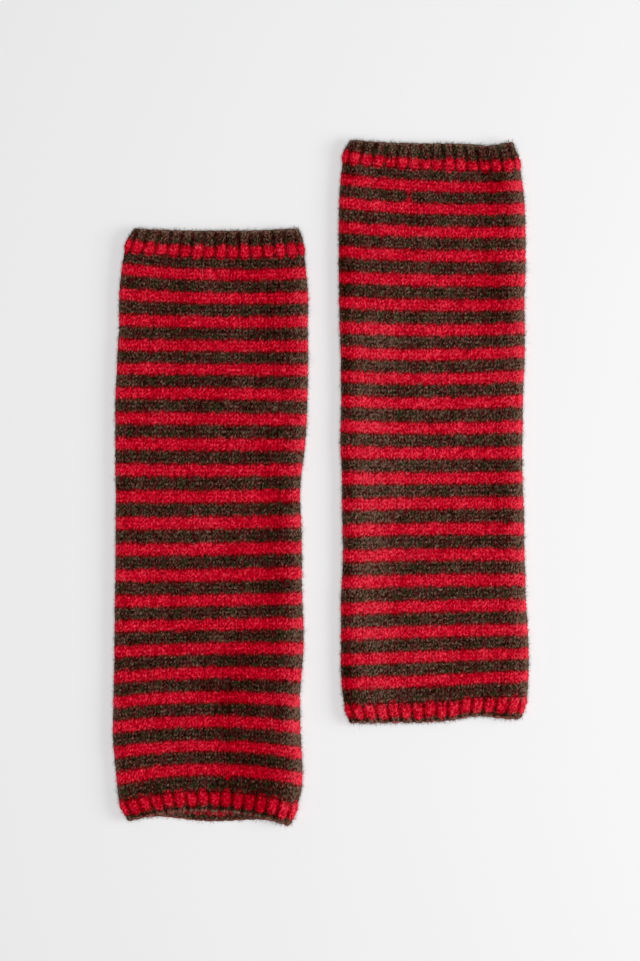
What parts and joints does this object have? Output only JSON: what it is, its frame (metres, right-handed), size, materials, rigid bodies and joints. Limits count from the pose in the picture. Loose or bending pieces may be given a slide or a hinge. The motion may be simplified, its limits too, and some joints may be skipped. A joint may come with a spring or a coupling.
{
  "type": "pair of fingerless gloves",
  "caption": "Two long knitted arm warmers in brushed wool with narrow stripes, ribbed cuffs at both ends and no thumb hole, laid flat side by side.",
  "frame": {"origin": "centre of the pair's box, on the surface that the gloves lie on", "axes": "+Y runs up both gloves towards the dark ribbed cuffs, +X from the left glove to the right one, +Z up out of the surface"},
  "size_m": [0.2352, 0.3874, 0.0075],
  "materials": {
    "striped_knit": "brushed wool plain knit in red and dark brown stripes",
    "dark_rib": "brushed wool rib knit, dark brown hem over a red band",
    "red_rib": "brushed wool rib knit in red with a thin dark brown edge"
  },
  "bodies": {
    "root": {"left_top_cuff": "dark_rib", "left_tube": "striped_knit", "left_bottom_cuff": "red_rib", "right_top_cuff": "dark_rib", "right_tube": "striped_knit", "right_bottom_cuff": "red_rib"}
  },
  "joints": []
}
